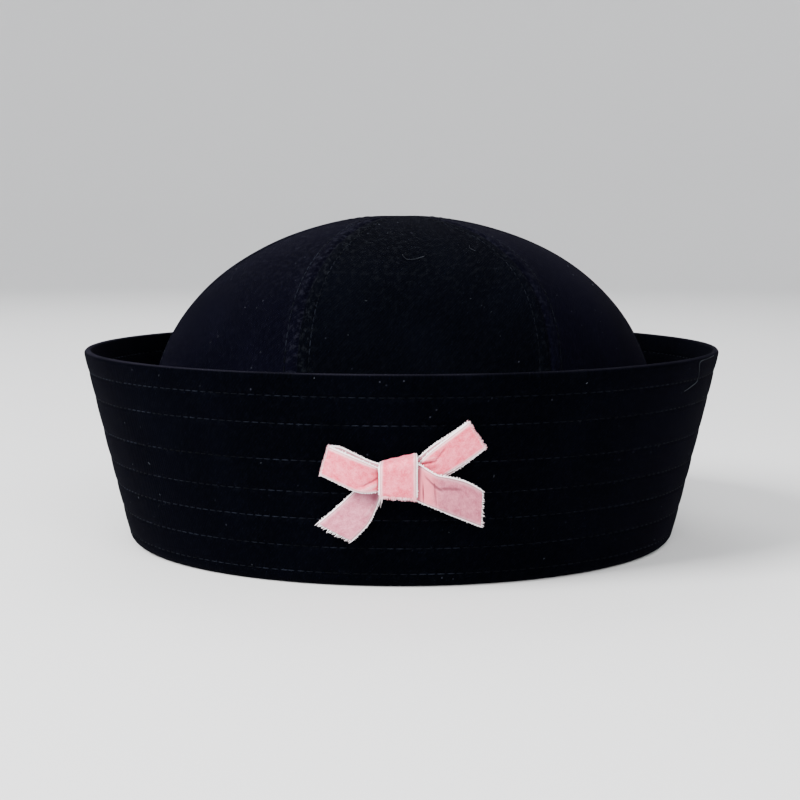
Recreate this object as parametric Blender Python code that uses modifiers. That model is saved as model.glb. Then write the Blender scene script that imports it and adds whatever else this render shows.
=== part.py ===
"""A sailor cap: a dome crown of six sewn panels, a wide brim turned up all round, and a ribbon bow.

Metres, +Z up. The cap stands on the fold of its brim at z = 0, and its front faces -Y. Every ring of the
cap is an oval: a circle in X, stretched by LENGTH_RATIO along Y.
"""

import math
from collections import namedtuple

import bmesh
import bpy
from mathutils import Vector

# The oval that all rings share
LENGTH_RATIO = 1.06

# Crown: a dome that tucks in a little below its widest ring. Its panels are a little flatter than the
# dome between their seams, and it bulges more to the right than to the left.
CROWN_WALL = 0.0012
CROWN_HEIGHT = 0.1132
BULGE_HALF_WIDTH = 0.0914
BULGE_HEIGHT = 0.0224
DOME_POWER = 2.7
PANEL_FLATTENING = 0.0014
CROWN_SWAY = 0.0012
APEX_RADIUS = 0.0006

# Brim: one wall that leaves the crown's edge as a lip, turns under as a fold and rises to its free rim
BRIM_WALL = 0.0022
BRIM_HEIGHT = 0.0673
FOLD_OVERHANG = 0.0007
FOLD_HALF_WIDTH = BULGE_HALF_WIDTH + FOLD_OVERHANG
BRIM_FLARE = 0.0199
RIM_HALF_WIDTH = FOLD_HALF_WIDTH + BRIM_FLARE
FOLD_RADIUS = 0.0040
FOLD_FLAT = 0.0016
LIP_HEIGHT = 0.0070
RIM_ROUND = 0.0008
ROUNDED_ABOVE = math.radians(60)

# The crown's panels. A panel runs from its own seam to the next one's, and low and high are that seam's
# turn from the front towards +X, in degrees, at the crown's lower edge and at its top.
Panel = namedtuple("Panel", "place low high")

PANELS = (
    Panel("front", -20.5, -31),
    Panel("front_right", 28, 45),
    Panel("back_right", 91, 99),
    Panel("back", 154, 156),
    Panel("back_left", 217, 214),
    Panel("front_left", 279, 271),
)

# Bow: the ribbon's width and wall, the bow's middle on the brim, and how far each piece reaches from it
RIBBON_WIDTH = 0.0114
RIBBON_WALL = 0.0010
BOW_HEIGHT = 0.0356
BOW_OFFSET = -0.0009
LEFT_LOOP_REACH = 1.84 * RIBBON_WIDTH
RIGHT_LOOP_REACH = 2.29 * RIBBON_WIDTH
LEFT_TAIL_REACH = 2.36 * RIBBON_WIDTH
RIGHT_TAIL_REACH = 2.41 * RIBBON_WIDTH
LEFT_LOOP_TURN = math.radians(164.0)
RIGHT_LOOP_TURN = math.radians(31.0)
LEFT_TAIL_TURN = math.radians(222.5)
RIGHT_TAIL_TURN = math.radians(-21.5)

# The knot: how wide it is, and where its two sides end below and above the bow's middle
KNOT_WIDTH = 0.96 * RIBBON_WIDTH
KNOT_LEFT_LOW = -0.44 * RIBBON_WIDTH
KNOT_LEFT_TOP = 0.50 * RIBBON_WIDTH
KNOT_RIGHT_LOW = -0.54 * RIBBON_WIDTH
KNOT_RIGHT_TOP = 0.75 * RIBBON_WIDTH
KNOT_SQUARENESS = 5.0

# Clearance between neighbouring solids
PIECE_GAP = 0.0003
LAYER_PITCH = RIBBON_WALL + PIECE_GAP
FIRST_LAYER = PIECE_GAP + RIBBON_WALL + PIECE_GAP + RIBBON_WALL / 2
KNOT_DEPTH = 2 * RIBBON_WALL + 3 * LAYER_PITCH + PIECE_GAP

# Fineness of the meshes
RING_STEPS = 66
FOLD_STEPS = 3
PANEL_ACROSS = 10
PANEL_TUCK_ROWS = 2
PANEL_DOME_ROWS = 13
RIBBON_ACROSS = 4
RIBBON_ALONG = 22
KNOT_AROUND = 24
KNOT_ALONG = 4

# One section of a ribbon. reach is a share of the piece's reach from the knot's middle, side a share of
# the ribbon's width to the left of its way out, layer counts ribbon layers above the one nearest the
# brim, width is a share of the ribbon's width, skew turns the section in the brim's plane and roll about
# the ribbon's own way, both in degrees.
Section = namedtuple("Section", "reach side layer width skew roll")

LEFT_LOOP = (
    Section(0.12, 0.03, 2.0, 0.56, 10, 0),
    Section(0.28, 0.10, 2.0, 0.57, 14, 0),
    Section(0.38, 0.05, 2.4, 0.91, 8, 2),
    Section(0.60, 0.02, 3.0, 1.00, 3, 4),
    Section(0.88, -0.01, 2.4, 1.01, 2, 2),
    Section(1.00, -0.04, 1.3, 1.01, 2, 0),
    Section(0.88, -0.07, 0.4, 1.01, 2, 0),
    Section(0.60, -0.06, 0.3, 1.00, 3, 0),
    Section(0.38, 0.01, 0.8, 0.88, 8, 0),
    Section(0.28, 0.10, 1.0, 0.57, 14, 0),
    Section(0.12, 0.03, 1.0, 0.56, 10, 0),
)
RIGHT_LOOP = (
    Section(0.08, 0.00, 1.0, 0.58, -28, 0),
    Section(0.245, -0.10, 1.0, 0.59, -28, 0),
    Section(0.35, -0.12, 1.1, 0.86, -10, -2),
    Section(0.60, -0.12, 1.5, 0.99, 4, -3),
    Section(0.89, 0.01, 1.4, 1.02, 6, -3),
    Section(1.00, 0.03, 0.5, 1.02, 6, 0),
    Section(0.90, 0.03, -0.5, 1.02, 6, 0),
    Section(0.60, -0.07, -0.7, 0.98, 4, 0),
    Section(0.35, -0.09, -0.3, 0.86, -10, 0),
    Section(0.245, -0.10, 0.0, 0.59, -28, 0),
    Section(0.08, 0.00, 0.0, 0.58, -28, 0),
)
LEFT_TAIL = (
    Section(0.06, -0.20, 0.0, 0.54, -42, 0),
    Section(0.15, -0.35, 0.0, 0.56, -42, 0),
    Section(0.33, -0.25, -0.6, 0.86, -16, 0),
    Section(0.56, -0.10, -0.8, 0.96, 4, 2),
    Section(0.80, 0.00, -0.7, 1.02, 8, 3),
    Section(1.00, 0.04, -0.5, 1.08, 14, 2),
)
RIGHT_TAIL = (
    Section(0.06, 0.10, 2.0, 0.72, 21, 0),
    Section(0.23, 0.15, 2.0, 0.71, 21, 0),
    Section(0.36, 0.12, 2.5, 0.98, 10, 0),
    Section(0.58, 0.09, 2.8, 1.05, 0, -3),
    Section(0.82, 0.05, 1.7, 1.03, 6, -2),
    Section(1.00, 0.02, 0.7, 1.02, 21, 0),
)

NAVY = (0.012, 0.014, 0.030, 1.0)
VELVET = (0.90, 0.42, 0.46, 1.0)
RIBBON_BACK = (0.72, 0.42, 0.47, 1.0)


def clear_scene():
    """Removes what the file opened with."""
    for thing in list(bpy.data.objects):
        bpy.data.objects.remove(thing)


def material(name, colour, roughness):
    """A plain cloth finish."""
    made = bpy.data.materials.new(name)
    made.use_nodes = True
    shader = made.node_tree.nodes["Principled BSDF"]
    shader.inputs["Base Color"].default_value = colour
    shader.inputs["Roughness"].default_value = roughness
    shader.inputs["Metallic"].default_value = 0.0
    return made


def add_object(name, mesh, finish, collection):
    """Puts a mesh into the cap's collection as a named, smooth-shaded piece."""
    piece = bpy.data.objects.new(name, mesh)
    mesh.materials.append(finish)
    mesh.shade_smooth()
    collection.objects.link(piece)
    return piece


def thicken(piece, wall, offset):
    """Gives a surface its wall. Offset -1 grows it inwards and 0 to both sides."""
    solid = piece.modifiers.new("wall", "SOLIDIFY")
    solid.thickness = wall
    solid.offset = offset
    solid.use_even_offset = True


def arc(centre, radius, start, end, steps):
    """Points on an arc in the (radius, height) plane."""
    points = []
    for step in range(steps + 1):
        angle = start + (end - start) * step / steps
        points.append((centre[0] + radius * math.cos(angle), centre[1] + radius * math.sin(angle)))
    return points


def fold_centres():
    """The centres of the fold's inner and outer quarter rounds, as (radius, height)."""
    inner = (FOLD_HALF_WIDTH - FOLD_FLAT / 2, FOLD_RADIUS)
    outer = (FOLD_HALF_WIDTH + FOLD_FLAT / 2, FOLD_RADIUS)
    return inner, outer


def brim_slant():
    """The angle between the brim's rising wall, which leaves the fold as a tangent, and the vertical."""
    outer = fold_centres()[1]
    bend = FOLD_RADIUS - BRIM_WALL / 2
    across = RIM_HALF_WIDTH - BRIM_WALL / 2 - outer[0]
    rise = BRIM_HEIGHT - outer[1]
    return math.acos(bend / math.hypot(across, rise)) - math.atan2(rise, across)


def brim_profile():
    """The middle of the brim's wall, from the lip's top, under the fold and up to the rim."""
    inner, outer = fold_centres()
    bend = FOLD_RADIUS - BRIM_WALL / 2
    bottom = math.radians(270)
    lip_top = (inner[0] - bend, LIP_HEIGHT)
    rim = (RIM_HALF_WIDTH - BRIM_WALL / 2, BRIM_HEIGHT)
    turned_in = arc(inner, bend, math.radians(180), bottom, FOLD_STEPS)
    turned_out = arc(outer, bend, bottom, math.radians(360) - brim_slant(), FOLD_STEPS)
    middle = ((turned_out[-1][0] + rim[0]) / 2, (turned_out[-1][1] + rim[1]) / 2)
    return [lip_top, *turned_in, *turned_out, middle, rim]


def make_brim(finish, collection):
    """The brim: its profile spun round the axis, stretched to the oval, and given its wall."""
    bm = bmesh.new()
    verts = [bm.verts.new((radius, 0, height)) for radius, height in brim_profile()]
    edges = [bm.edges.new(pair) for pair in zip(verts, verts[1:])]
    bmesh.ops.spin(
        bm,
        geom=verts + edges,
        axis=(0, 0, 1),
        cent=(0, 0, 0),
        steps=RING_STEPS,
        angle=math.tau,
    )
    bmesh.ops.remove_doubles(bm, verts=bm.verts, dist=PIECE_GAP / 10)
    bmesh.ops.scale(bm, verts=bm.verts, vec=(1, LENGTH_RATIO, 1))
    mesh = bpy.data.meshes.new("brim")
    bm.to_mesh(mesh)
    bm.free()
    brim = add_object("brim", mesh, finish, collection)
    thicken(brim, BRIM_WALL, 0)
    rounded = brim.modifiers.new("rounded_edges", "BEVEL")
    rounded.width = RIM_ROUND
    rounded.segments = 2
    rounded.limit_method = "ANGLE"
    rounded.angle_limit = ROUNDED_ABOVE
    return brim


def crown_base():
    """(radius, height) of the crown's lower edge, which stands on the brim's lip."""
    lip_middle = fold_centres()[0][0] - (FOLD_RADIUS - BRIM_WALL / 2)
    return lip_middle + CROWN_WALL / 2, LIP_HEIGHT + PIECE_GAP


def crown_meridian():
    """The crown's outer line from its lower edge to its top, as (radius, height).

    Below the widest ring the radius falls away as a parabola. Above it the radius is the widest one
    times the square root of 1 - u ** DOME_POWER, where u is the share of the height left to the top.
    """
    base_radius, base_height = crown_base()
    rows = []
    for row in range(PANEL_TUCK_ROWS):
        share = row / PANEL_TUCK_ROWS
        radius = BULGE_HALF_WIDTH - (BULGE_HALF_WIDTH - base_radius) * (1 - share) ** 2
        rows.append((radius, base_height + (BULGE_HEIGHT - base_height) * share))
    top_share = (1 - (APEX_RADIUS / BULGE_HALF_WIDTH) ** 2) ** (1 / DOME_POWER)
    for row in range(PANEL_DOME_ROWS + 1):
        share = math.sin(math.asin(top_share) * row / PANEL_DOME_ROWS)
        radius = BULGE_HALF_WIDTH * math.sqrt(1 - share**DOME_POWER)
        rows.append((radius, BULGE_HEIGHT + (CROWN_HEIGHT - BULGE_HEIGHT) * share))
    return rows


def seam_turn(panel, height):
    """A seam's angle from +X at a height: it swings from low to high with the square of the height."""
    base_height = crown_base()[1]
    share = (height - base_height) / (CROWN_HEIGHT - base_height)
    return math.radians(panel.low + (panel.high - panel.low) * share**2 - 90)


def panel_mesh(name, panel, following):
    """One crown panel: a grid between two seams, half a gap clear of each."""
    rows = crown_meridian()
    bm = bmesh.new()
    bmesh.ops.create_grid(bm, x_segments=PANEL_ACROSS, y_segments=len(rows) - 1, size=0.5)
    for vert in bm.verts:
        across = vert.co.x + 0.5
        row = round((vert.co.y + 0.5) * (len(rows) - 1))
        radius, height = rows[row]
        clear = math.asin(PIECE_GAP / 2 / radius)
        start = seam_turn(panel, height) + clear
        end = seam_turn(following, height) - clear
        angle = start + ((end - start) % math.tau) * across
        up = row / (len(rows) - 1)
        radius -= PANEL_FLATTENING * 4 * across * (1 - across) * math.sin(math.pi * up)
        sway = CROWN_SWAY * math.sin(math.pi * up)
        vert.co = (sway + radius * math.cos(angle), LENGTH_RATIO * radius * math.sin(angle), height)
    mesh = bpy.data.meshes.new(name)
    bm.to_mesh(mesh)
    bm.free()
    return mesh


def make_crown(finish, collection):
    """The six panels, each from its own seam to the next."""
    for panel, following in zip(PANELS, PANELS[1:] + PANELS[:1]):
        name = "crown_panel_" + panel.place
        thicken(add_object(name, panel_mesh(name, panel, following), finish, collection), CROWN_WALL, -1)


def on_brim(across, up, lift):
    """A point over the front of the brim: across to the right and up the wall from the bow's middle, and
    lift out from the wall."""
    slant = brim_slant()
    outer = fold_centres()[1]
    foot_radius = outer[0] + FOLD_RADIUS * math.cos(slant)
    foot_height = outer[1] - FOLD_RADIUS * math.sin(slant)
    height = BOW_HEIGHT + up * math.cos(slant)
    radius = foot_radius + (height - foot_height) * math.tan(slant)
    turn = math.asin((across + BOW_OFFSET) / radius)
    point = Vector((radius * math.sin(turn), -LENGTH_RATIO * radius * math.cos(turn), height))
    out = Vector((math.sin(turn), -math.cos(turn) / LENGTH_RATIO, -math.tan(slant)))
    return point + out.normalized() * lift


def between(sections, share):
    """The section at a share of the way through a table, on a smooth curve through all its rows."""
    place = share * (len(sections) - 1)
    first = min(int(place), len(sections) - 2)
    t = place - first
    before = sections[max(first - 1, 0)]
    after = sections[min(first + 2, len(sections) - 1)]
    here, there = sections[first], sections[first + 1]
    values = []
    for a, b, c, d in zip(before, here, there, after):
        slope_b = (c - a) / 2
        slope_c = (d - b) / 2
        cubic = (2 * t**3 - 3 * t**2 + 1) * b + (t**3 - 2 * t**2 + t) * slope_b
        cubic += (3 * t**2 - 2 * t**3) * c + (t**3 - t**2) * slope_c
        values.append(cubic)
    return Section(*values)


def ribbon_point(section, across, reach, turn):
    """A point of a ribbon, across from -0.5 to 0.5 of its section, in the cap's frame."""
    along = Vector((math.cos(turn), math.sin(turn)))
    left = Vector((-along.y, along.x))
    middle = along * section.reach * reach + left * section.side * RIBBON_WIDTH
    skew, roll = math.radians(section.skew), math.radians(section.roll)
    way = left * math.cos(skew) - along * math.sin(skew)
    offset = across * section.width * RIBBON_WIDTH
    place = middle + way * offset * math.cos(roll)
    lift = FIRST_LAYER + section.layer * LAYER_PITCH + offset * math.sin(roll)
    return on_brim(place.x, place.y, lift)


def make_ribbon(name, sections, reach, turn, finish, collection):
    """One loop or tail: a strip through its table's sections, with half its wall to each side."""
    bm = bmesh.new()
    bmesh.ops.create_grid(bm, x_segments=RIBBON_ACROSS, y_segments=RIBBON_ALONG, size=0.5)
    for vert in bm.verts:
        section = between(sections, vert.co.y + 0.5)
        vert.co = ribbon_point(section, vert.co.x, reach, turn)
    mesh = bpy.data.meshes.new(name)
    bm.to_mesh(mesh)
    bm.free()
    ribbon = add_object(name, mesh, finish, collection)
    thicken(ribbon, RIBBON_WALL, 0)


def knot_point(around, along):
    """A point of the knot's outside: a squarish oval band, taller at its right side than at its left."""
    cosine, sine = math.cos(around), math.sin(around)
    power = 2 / KNOT_SQUARENESS
    low = KNOT_LEFT_LOW + (KNOT_RIGHT_LOW - KNOT_LEFT_LOW) * along
    top = KNOT_LEFT_TOP + (KNOT_RIGHT_TOP - KNOT_LEFT_TOP) * along
    up = (low + top) / 2 + math.copysign(abs(cosine) ** power, cosine) * (top - low) / 2
    lift = math.copysign(abs(sine) ** power, sine) * KNOT_DEPTH / 2
    return on_brim(KNOT_WIDTH * (along - 0.5), up, PIECE_GAP + KNOT_DEPTH / 2 + lift)


def make_knot(finish, collection):
    """The knot: a short band of ribbon round the roots of the loops and tails."""
    bm = bmesh.new()
    rings = []
    for column in range(KNOT_ALONG + 1):
        ring = []
        for step in range(KNOT_AROUND):
            around = math.tau * (step + 0.5) / KNOT_AROUND
            ring.append(bm.verts.new(knot_point(around, column / KNOT_ALONG)))
        rings.append([bm.edges.new((ring[i], ring[(i + 1) % KNOT_AROUND])) for i in range(KNOT_AROUND)])
    for ring, following in zip(rings, rings[1:]):
        bmesh.ops.bridge_loops(bm, edges=ring + following)
    bmesh.ops.recalc_face_normals(bm, faces=bm.faces)
    mesh = bpy.data.meshes.new("bow_knot")
    bm.to_mesh(mesh)
    bm.free()
    knot = add_object("bow_knot", mesh, finish, collection)
    thicken(knot, RIBBON_WALL, -1)


def make_bow(front, back, collection):
    """The knot, the two loops in the ribbon's velvet side and the two tails in its plain side."""
    make_knot(front, collection)
    make_ribbon("bow_loop_left", LEFT_LOOP, LEFT_LOOP_REACH, LEFT_LOOP_TURN, front, collection)
    make_ribbon("bow_loop_right", RIGHT_LOOP, RIGHT_LOOP_REACH, RIGHT_LOOP_TURN, front, collection)
    make_ribbon("bow_tail_left", LEFT_TAIL, LEFT_TAIL_REACH, LEFT_TAIL_TURN, back, collection)
    make_ribbon("bow_tail_right", RIGHT_TAIL, RIGHT_TAIL_REACH, RIGHT_TAIL_TURN, back, collection)


def main():
    clear_scene()
    collection = bpy.data.collections.new("sailor_cap")
    bpy.context.scene.collection.children.link(collection)
    twill = material("navy_twill", NAVY, 0.85)
    velvet = material("pink_velvet", VELVET, 0.8)
    plain = material("pink_ribbon_back", RIBBON_BACK, 0.6)
    make_crown(twill, collection)
    make_brim(twill, collection)
    make_bow(velvet, plain, collection)


main()
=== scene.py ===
"""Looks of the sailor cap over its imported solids: topstitched navy twill and a velvet ribbon bow.

Metres, +Z up, the front towards -Y. Every ring of the cap is an oval: a circle in X, stretched by
LENGTH_RATIO along Y. A turn is an angle from +X, so the front is at -90 degrees.
"""

import math
from collections import namedtuple

import bpy
import numpy as np
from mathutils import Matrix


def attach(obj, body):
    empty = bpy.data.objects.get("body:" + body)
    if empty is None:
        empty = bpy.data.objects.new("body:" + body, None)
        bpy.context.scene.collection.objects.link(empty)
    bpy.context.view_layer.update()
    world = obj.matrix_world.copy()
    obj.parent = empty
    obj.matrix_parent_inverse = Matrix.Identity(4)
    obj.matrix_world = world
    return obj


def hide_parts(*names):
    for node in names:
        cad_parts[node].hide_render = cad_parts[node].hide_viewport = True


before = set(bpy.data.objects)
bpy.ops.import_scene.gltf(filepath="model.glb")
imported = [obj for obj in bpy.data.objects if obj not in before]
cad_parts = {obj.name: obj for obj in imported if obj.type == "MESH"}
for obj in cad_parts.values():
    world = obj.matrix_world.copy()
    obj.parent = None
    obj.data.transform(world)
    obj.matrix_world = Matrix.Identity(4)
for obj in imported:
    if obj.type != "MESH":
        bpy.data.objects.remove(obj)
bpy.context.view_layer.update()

MM = 0.001

# The cap's own measures, as its solids have them, but for APEX_RADIUS: here the crown's top is closed
LENGTH_RATIO = 1.06
CROWN_WALL = 0.0012
CROWN_HEIGHT = 0.1132
BULGE_HALF_WIDTH = 0.0914
BULGE_HEIGHT = 0.0224
DOME_POWER = 2.7
PANEL_FLATTENING = 0.0014
CROWN_SWAY = 0.0012
APEX_RADIUS = 0.00004
TUCK_ROWS = 2
DOME_ROWS = 13
BRIM_WALL = 0.0022
BRIM_HEIGHT = 0.0673
FOLD_HALF_WIDTH = BULGE_HALF_WIDTH + 0.0007
RIM_HALF_WIDTH = FOLD_HALF_WIDTH + 0.0199
FOLD_RADIUS = 0.0040
FOLD_FLAT = 0.0016
LIP_HEIGHT = 0.0070
PIECE_GAP = 0.0003

# What follows from them
BEND = FOLD_RADIUS - BRIM_WALL / 2
FOLD_INNER = FOLD_HALF_WIDTH - FOLD_FLAT / 2
FOLD_OUTER = FOLD_HALF_WIDTH + FOLD_FLAT / 2
RIM_ACROSS = RIM_HALF_WIDTH - BRIM_WALL / 2 - FOLD_OUTER
RIM_RISE = BRIM_HEIGHT - FOLD_RADIUS
SLANT = math.acos(BEND / math.hypot(RIM_ACROSS, RIM_RISE)) - math.atan2(RIM_RISE, RIM_ACROSS)
WALL_LENGTH = math.sqrt(RIM_ACROSS**2 + RIM_RISE**2 - BEND**2)
BASE_RADIUS = FOLD_INNER - BEND + CROWN_WALL / 2
BASE_HEIGHT = LIP_HEIGHT + PIECE_GAP

# The crown's seams: turn from the front towards +X, in degrees, at the crown's lower edge and its top
Seam = namedtuple("Seam", "panel low high")
SEAMS = (
    Seam("front", -20.5, -31),
    Seam("front_right", 28, 45),
    Seam("back_right", 91, 99),
    Seam("back", 154, 156),
    Seam("back_left", 217, 214),
    Seam("front_left", 279, 271),
)
# A panel lies between its own seam and the next one
PANELS = tuple(zip(SEAMS, SEAMS[1:] + SEAMS[:1]))
# Its grid's columns beside a seam, in millimetres, and the width below which they move closer
SEAM_COLUMNS = np.array([
    0, 0.12, 0.3, 0.5, 0.75, 1.05, 1.5, 2.2, 3.0, 3.6, 3.95,
    4.2, 4.4, 4.6, 4.85, 5.2, 5.6, 6.4, 7.0, 7.6, 9,
])
NARROW_PANEL = 24 * MM
PANEL_ROWS = 104
CLOTH_SHIFT = 0.31

# Topstitching: its distance from a crown seam, the panel's width where it ends, and its rows below the rim
SEAM_STITCH = 4.4 * MM
LAST_STITCH_WIDTH = 9 * MM
BRIM_ROWS = np.array([7.1, 16.0, 27.7, 37.9, 46.6, 55.9, 64.4]) * MM
STITCH_PITCH = 3.0 * MM
STITCH_LENGTH = 2.5 * MM
STITCH_WIDTH = 0.42 * MM
STITCH_SAG = 0.20 * MM
STITCH_PROUD = 0.08 * MM

# The bow. A ribbon's section is the places of its two edges, each across and up the brim in ribbon widths
# from the bow's middle, and the ribbon layer that each edge is on.
RIBBON_WIDTH = 0.0114
RIBBON_WALL = 0.0010
SELVEDGE = 0.36 * MM
BOW_HEIGHT = 0.0356
BOW_OFFSET = -0.0009
KNOT_WIDTH = 0.96 * RIBBON_WIDTH
KNOT_LOW = np.array([-0.35, -0.44]) * RIBBON_WIDTH
KNOT_TOP = np.array([0.52, 0.77]) * RIBBON_WIDTH
KNOT_SQUARENESS = 5.0
HIDDEN_END = 5.2 * MM
LAYER_PITCH = RIBBON_WALL + PIECE_GAP
FIRST_LAYER = PIECE_GAP + RIBBON_WALL + PIECE_GAP + RIBBON_WALL / 2
KNOT_DEPTH = 2 * RIBBON_WALL + 3 * LAYER_PITCH + PIECE_GAP
EDGE_PAIRS = ((0, 2), (1, 3), (4, 5))
FORWARD = np.array([0.0, -1.0, 0.0])
LEFT_LOOP = np.array([
    (-0.10, 0.36, -0.10, -0.09, 2.0, 2.0), (-0.46, 0.43, -0.45, -0.21, 2.0, 2.0),
    (-0.72, 0.58, -0.68, -0.25, 2.5, 2.6), (-1.06, 0.77, -1.03, -0.21, 3.0, 2.9),
    (-1.41, 0.92, -1.52, 0.01, 2.7, 2.6), (-1.71, 1.00, -1.94, 0.16, 1.5, 1.4),
    (-1.47, 0.94, -1.56, -0.04, 0.5, 0.5), (-1.08, 0.74, -1.07, -0.26, 0.3, 0.3),
    (-0.73, 0.58, -0.71, -0.25, 0.6, 0.6), (-0.45, 0.50, -0.46, -0.20, 1.0, 1.0),
    (-0.10, 0.37, -0.10, -0.14, 1.0, 1.0),
])
RIGHT_LOOP = np.array([
    (0.12, 0.48, 0.12, 0.03, 1.0, 1.0), (0.48, 0.49, 0.49, -0.06, 1.0, 1.0),
    (0.65, 0.70, 0.76, -0.02, 1.3, 1.2), (0.85, 0.93, 1.11, 0.16, 1.7, 1.4),
    (1.26, 1.28, 1.64, 0.51, 1.7, 1.5), (1.75, 1.63, 2.22, 0.87, 0.6, 0.6),
    (1.32, 1.26, 1.66, 0.34, -0.5, -0.5), (0.88, 0.95, 1.14, 0.01, -0.6, -0.6),
    (0.66, 0.77, 0.77, -0.09, -0.2, -0.2), (0.48, 0.63, 0.50, -0.08, 0.0, 0.0),
    (0.13, 0.46, 0.13, -0.02, 0.0, 0.0),
])
LEFT_TAIL = np.array([
    (-0.11, 0.09, -0.11, -0.33, 0.0, 0.0), (-0.60, 0.22, -0.43, -0.35, 0.0, 0.0),
    (-0.93, -0.12, -0.49, -0.57, -0.5, -0.4), (-1.29, -0.49, -0.59, -0.89, -0.7, -0.6),
    (-1.66, -0.87, -0.79, -1.32, -0.7, -0.6), (-2.11, -1.29, -1.19, -1.77, -0.5, -0.4),
])
RIGHT_TAIL = np.array([
    (0.12, 0.47, 0.12, -0.35, 2.0, 2.0), (0.48, 0.57, 0.44, -0.48, 2.2, 2.2),
    (0.72, 0.44, 0.69, -0.59, 2.7, 2.5), (0.97, 0.29, 0.98, -0.72, 3.0, 2.7),
    (1.30, 0.20, 1.31, -0.90, 2.6, 2.4), (1.73, 0.02, 1.71, -1.12, 1.8, 1.6),
    (2.13, -0.27, 2.12, -1.35, 0.8, 0.7),
])
# A few yarns that hang from the knot's lower left corner: across, up (both in ribbon widths) and length
SLIVER = np.array([
    (-0.38, -0.40, 3.2), (-0.40, -0.40, 4.8),
    (-0.42, -0.41, 4.4), (-0.41, -0.42, 3.8),
    (-0.44, -0.42, 3.0),
])

# Creases: place across, drift along the strip, width, depth in millimetres, and the shares where it runs
LEFT_LOOP_CREASES = [
    (-0.18, 0.56, 0.05, 0.40, 0.08, 0.30), (0.06, 0.42, 0.10, -0.30, 0.08, 0.31),
    (-0.30, 0.10, 0.10, 0.20, 0.08, 0.20),
]
RIGHT_LOOP_CREASES = [
    (-0.44, 0.37, 0.045, 0.50, 0.11, 0.32), (-0.10, -0.22, 0.04, 0.35, 0.28, 0.38),
    (-0.16, 0.34, 0.10, 0.22, 0.13, 0.34), (-0.50, 0.30, 0.07, -0.22, 0.14, 0.34),
]
LEFT_TAIL_CREASES = [(0.20, 0.05, 0.22, 0.35, 0.15, 0.55), (0.34, -0.06, 0.07, -0.16, 0.45, 0.80)]
RIGHT_TAIL_CREASES = [
    (-0.34, 0.30, 0.05, 0.42, 0.22, 0.62), (-0.12, -0.16, 0.05, 0.34, 0.50, 0.84),
    (-0.05, 0.50, 0.22, 0.34, 0.26, 0.31), (-0.25, 0.70, 0.26, 0.24, 0.44, 0.50),
    (-0.36, 0.10, 0.10, -0.14, 0.16, 0.50),
]

# Rows of a ribbon's grid and of a loop's fold, and counts of hairs, yarns and loops along the woven edges
RIBBON_ROWS = 170
FOLD_ROWS = (82, 89)
FOLD_PILE = 480
KNOT_PILE = 260
TAIL_YARNS = 30
PICOT_PITCH = 0.72 * MM

# Loose threads. On the brim: turn in degrees and depth below the rim in millimetres. On the crown's front
# panel: shares across and up it.
RIM_THREAD = np.array(
    [(-20, 0.3), (-24, 0.6), (-28.6, 1.1), (-28.1, 4.3), (-27.5, 7.6), (-30.6, 9.4), (-33.0, 10.3)]
)
TOP_THREAD = np.array([(0.402, 0.712), (0.405, 0.706), (0.427, 0.694), (0.470, 0.696), (0.517, 0.706)])
SIDE_THREAD = np.array([(0.81, 0.745), (0.795, 0.733), (0.815, 0.721)])
THREAD_PROUD = 0.12 * MM
# Lint: flecks that the photo shows, in the same measures, and counts of scattered fibres
BRIM_FLECKS = np.array([(-123.8, 5.2), (-103.4, 1.1), (-114.0, 29.0), (-85.1, 43.0)])
CROWN_FLECKS = {"front_left": [(0.66, 0.541), (0.835, 0.44)], "front_right": [(0.393, 0.5)]}
FLECK_LENGTH = 0.55
BRIM_LINT = 60
PANEL_LINT = 8
LINT_PROUD = 0.06 * MM

rng = np.random.default_rng(7)


# Meshes


def smooth(value, low, high):
    """0 up to low, 1 from high on, and a soft S between them."""
    share = np.clip((value - low) / (high - low), 0, 1)
    return share * share * (3 - 2 * share)


def bell(value, width):
    """A bell curve that is 1 at zero and falls away over width."""
    return np.exp(-((value / width) ** 2))


def unit(vectors):
    """Vectors brought to length 1."""
    return vectors / np.linalg.norm(vectors, axis=-1, keepdims=True)


def upright(outs, ways):
    """Out directions brought square to their ways."""
    return unit(outs - ways * (outs * ways).sum(axis=-1, keepdims=True))


def summed(steps):
    """Running totals of a row of steps, from 0 on."""
    return np.concatenate([[0], np.cumsum(steps)])


def lengths_along(line):
    """The length along a line of points up to each of them."""
    return summed(np.linalg.norm(np.diff(line, axis=0), axis=1))


def joined(parts):
    """Each column of the parts as one array."""
    return (np.concatenate(each) for each in zip(*parts))


def stacked(*values):
    """Values brought to one shape, as the last axis of one array."""
    return np.stack(np.broadcast_arrays(*values), axis=-1)


def oval(radius, turn, height):
    """Points on the cap's oval rings."""
    return stacked(radius * np.cos(turn), LENGTH_RATIO * radius * np.sin(turn), height)


def frames(surface, first, second):
    """(points, ways, outs) of a surface of two parameters: where it is, its direction as the second grows,
    and its normal, the cross product of its slopes over small steps of each."""
    small = 1e-4
    across = surface(first + small, second) - surface(first - small, second)
    ways = unit(surface(first, second + small) - surface(first, second - small))
    return surface(first, second), ways, unit(np.cross(across, ways))


def grid_faces(rows, columns, wrap):
    """(corner numbers of a grid's faces, columns, the column after each). A wrapped grid joins up."""
    column = np.arange(columns if wrap else columns - 1)
    after = (column + 1) % columns
    row = np.arange(rows - 1)[:, None] * columns
    sheet = stacked(row + column, row + after, row + columns + after, row + columns + column)
    return sheet.reshape(-1, 4), column, after


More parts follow.
